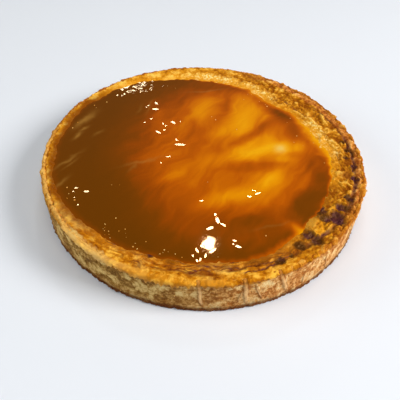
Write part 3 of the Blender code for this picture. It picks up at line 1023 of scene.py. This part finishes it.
def clear_caramel():
    """Wet caramel, whose colour runs from pale gold through orange to dark brown with its depth, with paler
    streaks of painted reflection.
    """
    material, recipe, shader = make_material("clear_caramel", 0.035)
    depth, smear = recipe.attributes("depth", "smear")
    colour = recipe.ramp(
        depth,
        (0.0, (240, 186, 62)),
        (0.12, (234, 168, 10)),
        (0.28, (222, 141, 0)),
        (0.42, (203, 111, 0)),
        (0.56, (180, 85, 0)),
        (0.72, (146, 66, 0)),
        (0.86, (116, 58, 0)),
        (1.0, (102, 54, 0)),
    )
    # Painted reflection: a paler colour where the streaks stand in for light mirrored in the caramel.
    painted_sheen_colour = recipe.blend(depth.rise(0.3, 0.6), (226, 200, 116), (170, 122, 50))
    colour = recipe.blend(smear, colour, painted_sheen_colour)
    x, y, _ = recipe.axes(recipe.place())
    spots = flat_spots(recipe, x, y)
    skin = recipe.add("ShaderNodeBump", None, {"Strength": 1.0, "Distance": 1.0, "Height": spots})
    feed(shader, Base_Color=colour, Normal=skin, IOR=1.44, Specular_Tint=(255, 200, 130))
    return material


caramel = sculpted(
    "caramel_pool",
    pool_sheet(),
    clear_caramel(),
    {"Seed": 11, "Ripple height": 0.00004, "Pucker height": 0.00036},
    settle_caramel,
)
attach(caramel, "root")
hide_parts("caramel")

# ---- The bubbles
# Beads of air and sugar that stand in the caramel's skin, thickest along its front left edge.
# A geometry tree strews them over the pool's mesh. Each is a small ball, sunk to about half.

BEAD_NUMBER = 80000  # on each square metre, where they are thickest


def strewn(recipe, shape, density, seed, facets, least, most):
    """Small uneven balls strewn over the shape at random. Facets is how finely each is cut."""
    points = recipe.add(
        "GeometryNodeDistributePointsOnFaces",
        {"distribute_method": "RANDOM"},
        {"Mesh": shape, "Density": density, "Seed": seed},
    )
    ball = recipe.add("GeometryNodeMeshIcoSphere", None, {"Radius": 1.0, "Subdivisions": facets})
    vector = {"data_type": "FLOAT_VECTOR"}
    kind = "FunctionNodeRandomValue"
    sides = recipe.add(kind, vector, {0: (0.7, 0.7, 0.7), 1: (1.2, 1.2, 1.2), "Seed": seed + 1})
    chance = recipe.add(kind, {"data_type": "FLOAT"}, {2: 0, 3: 1, "Seed": seed + 2}, 1)
    turn = recipe.add(kind, vector, {0: (0, 0, 0), 1: (6.28, 6.28, 6.28), "Seed": seed + 3})
    return recipe.add(
        "GeometryNodeInstanceOnPoints",
        None,
        {
            "Points": points,
            "Instance": ball,
            "Rotation": recipe.add("FunctionNodeEulerToRotation", None, {0: turn}),
            "Scale": recipe.stretched(sides, least + (most - least) * chance * chance),
        },
    )


def scatter_bubbles(recipe, shape, seed, least_radius, most_radius):
    """Thick along the front left edge, and a few further in and round the rest of the edge."""
    place, _, _, z, _, direction = polar(recipe)
    outward = recipe.attribute("outward")
    near_edge = outward.band(-0.016, -0.004, -0.0012, -0.0002)
    front_left = direction.band(-172, -158, -112, -92)
    flecks = recipe.noise(place, 0.010, seed + 5, 2).rise(-0.1, 0.3)
    above = z.rise(POOL_LEVEL - 0.0012, POOL_LEVEL - 0.0010)
    share = near_edge * (front_left * flecks + 0.05) + 0.005 * (outward.rise(-0.0002, -0.0012))
    return strewn(recipe, shape, share * above * BEAD_NUMBER, seed, 2, least_radius, most_radius)


def pale_bead_and_glint():
    """Pale amber froth, with a wet shine. Its pale colour is partly the froth's own and partly a painted
    highlight for the bubbles' glints.
    """
    material, recipe, shader = make_material("pale_bead_and_glint", 0.12)
    place = recipe.place()
    # Partly painted highlight: the beads are painted pale to stand in for the glints on the bubbles.
    colour = recipe.blend(recipe.noise(place, 0.004, 1, 1).rise(-0.3, 0.3), (214, 140, 44), (250, 206, 120))
    feed(shader, Base_Color=colour, Specular_Tint=(255, 220, 160))
    return material


bubbles = sculpted(
    "caramel_bubbles",
    caramel.data.copy(),
    pale_bead_and_glint(),
    {"Seed": 31, "Least radius": 0.00022, "Most radius": 0.00055},
    scatter_bubbles,
)
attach(bubbles, "root")

# ---- The crumbs
# Bits of pastry that broke off at the crust's foot and rim, and cling there, toasted dark at the foot.
# A geometry tree strews them over the crust's mesh, as it does the bubbles.

CRUMB_NUMBER = 170000  # on each square metre, where they are thickest


def scatter_crumbs(recipe, shape, seed, least_radius, most_radius):
    """Thickest round the foot, fewer on the bare rim, and a few down the side."""
    _, _, _, z, reach, _ = polar(recipe)
    outside = reach.rise(CRUST_RADIUS - 0.0040, CRUST_RADIUS - 0.0030)
    foot = z.rise(0.0050, 0.0020)
    rim = z.rise(RIM_HEIGHT - 0.0040, RIM_HEIGHT - 0.0015) * (1 - recipe.attribute("lapped")) * 0.35
    share = (foot.at_least(rim) + 0.02) * outside * z.rise(0.0008, 0.0010)
    return strewn(recipe, shape, share * CRUMB_NUMBER, seed, 1, least_radius, most_radius)


def toasted_crumb():
    """Pastry crumb: golden brown, and burnt at the foot."""
    material, recipe, shader = make_material("toasted_crumb", 0.9)
    place = recipe.place()
    _, _, z = recipe.axes(place)
    chance = recipe.noise(place, 0.0022, 1, 2)
    baked = recipe.tones(chance, (150, 84, 20), (206, 142, 60), (242, 196, 120))
    burnt = recipe.tones(chance, (70, 30, 12), (112, 58, 24), (172, 106, 50))
    feed(shader, Base_Color=recipe.blend(z.rise(0.0060, 0.0030), baked, burnt), Specular_IOR_Level=0.2)
    return material


crumbs = sculpted(
    "crust_crumbs",
    crust.data.copy(),
    toasted_crumb(),
    {"Seed": 41, "Least radius": 0.00022, "Most radius": 0.00060},
    scatter_crumbs,
    smooth=False,
)
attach(crumbs, "root")

# ---- The table, the light and the camera
# A plain pale table, a large soft lamp to the right, weaker ones to the left and overhead, and a dim room.
# Two small lamps behind the cake are what glints in the caramel.

CAMERA_LENS = 40.5  # millimetres, for Blender's usual sensor
CAMERA_DOWN = 46.55
CAMERA_TILT = 2.23

def pale_table():
    material, recipe, shader = make_material("pale_table", 0.6)
    place = recipe.place()
    cloud = recipe.noise(place, 0.5, 1, 2).rise(-1, 1)
    feed(shader, Base_Color=recipe.blend(cloud, (226, 233, 245), (231, 237, 248)))
    return material


table_mesh = bpy.data.meshes.new("table")
table_mesh.from_pydata([(-4, -4, 0), (4, -4, 0), (4, 4, 0), (-4, 4, 0)], [], [(0, 1, 2, 3)])
table_mesh.materials.append(pale_table())
table = bpy.data.objects.new("table", table_mesh)
bpy.context.scene.collection.objects.link(table)


def area_lamp(name, place, target, size, power, colour):
    lamp = bpy.data.lights.new(name, "AREA")
    lamp.shape = "ELLIPSE" if name == "ceiling_spot" else "RECTANGLE"
    lamp.size, lamp.size_y = size
    lamp.energy = power
    lamp.color = colour
    holder = bpy.data.objects.new(name, lamp)
    holder.location = place
    holder.rotation_mode = "QUATERNION"
    holder.rotation_quaternion = (Vector(target) - Vector(place)).to_track_quat("-Z", "Y")
    bpy.context.scene.collection.objects.link(holder)


area_lamp("right_lamp", (1.775, -0.313, 1.262), (0, 0, 0), (0.9, 0.9), 47, (1.0, 0.96, 0.90))
area_lamp("left_lamp", (-1.80, -0.25, 0.95), (0, 0, 0), (1.0, 1.0), 14, (1.0, 0.99, 0.90))
area_lamp("top_lamp", (0, -0.3, 1.9), (0, 0, 0), (1.6, 1.6), 12, (1.0, 1.0, 1.0))
area_lamp("ceiling_spot", CEILING_SPOT, (0.005, -0.086, 0.027), (0.044, 0.046), 0.60, (1.0, 0.98, 0.94))
area_lamp("far_window", FAR_WINDOW, (-0.055, 0.078, 0.027), (0.080, 0.030), 0.26, (1.0, 0.96, 0.72))

world = bpy.data.worlds.new("room")
bpy.context.scene.world = world
world.use_nodes = True
world.node_tree.nodes["Background"].inputs["Color"].default_value = (1.0, 0.97, 0.90, 1.0)
world.node_tree.nodes["Background"].inputs["Strength"].default_value = 0.13

camera = bpy.data.objects.new("camera", bpy.data.cameras.new("camera"))
camera.data.lens = CAMERA_LENS
camera.data.clip_start = 0.01
look_down = Matrix.Rotation(math.radians(90 - CAMERA_DOWN), 4, "X")
tilt = Matrix.Rotation(math.radians(CAMERA_TILT), 4, "Z")
camera.matrix_world = Matrix.Translation(EYE) @ look_down @ tilt
bpy.context.scene.collection.objects.link(camera)
bpy.context.scene.camera = camera
bpy.context.scene.view_settings.view_transform = "Standard"
